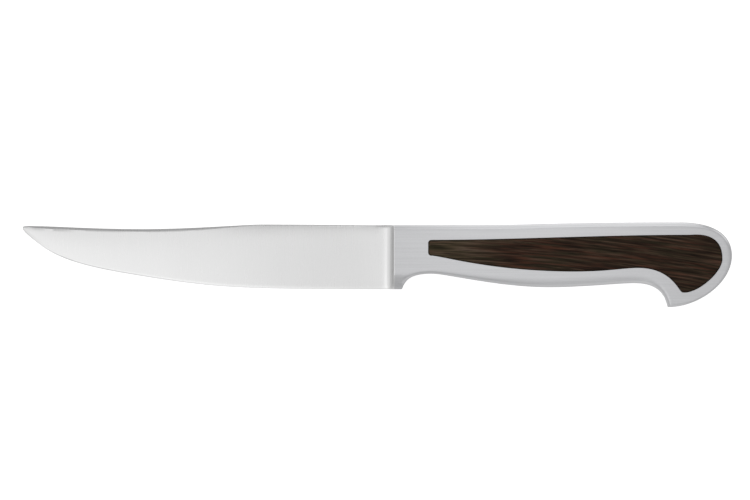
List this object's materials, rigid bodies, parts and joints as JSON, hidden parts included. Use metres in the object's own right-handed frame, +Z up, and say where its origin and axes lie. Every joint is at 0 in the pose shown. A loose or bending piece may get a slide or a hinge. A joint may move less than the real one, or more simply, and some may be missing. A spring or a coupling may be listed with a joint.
{
  "type": "steak knife",
  "caption": "Steak knife with a plain forged blade, a beaked hollow steel handle and dark wood inlays, lying on its side.",
  "frame": {"origin": "centre of the knife's box, on the surface that it lies on", "axes": "+X from the tip to the butt, +Y from the edge to the spine, +Z up through the thickness"},
  "size_m": [0.2308, 0.0276, 0.0126],
  "materials": {
    "blade_steel": "fine satin grind across the blade",
    "handle_steel": "even satin",
    "dark_wood": "oiled, close straight grain",
    "adhesive": "cured clear amber",
    "cement": "rough cast"
  },
  "bodies": {
    "root": {"blade": "blade_steel", "handle_shell_left": "handle_steel", "handle_shell_right": "handle_steel", "inlay_left": "dark_wood", "inlay_right": "dark_wood", "inlay_glue_left": "adhesive", "inlay_glue_right": "adhesive", "handle_filler": "cement"}
  },
  "joints": []
}
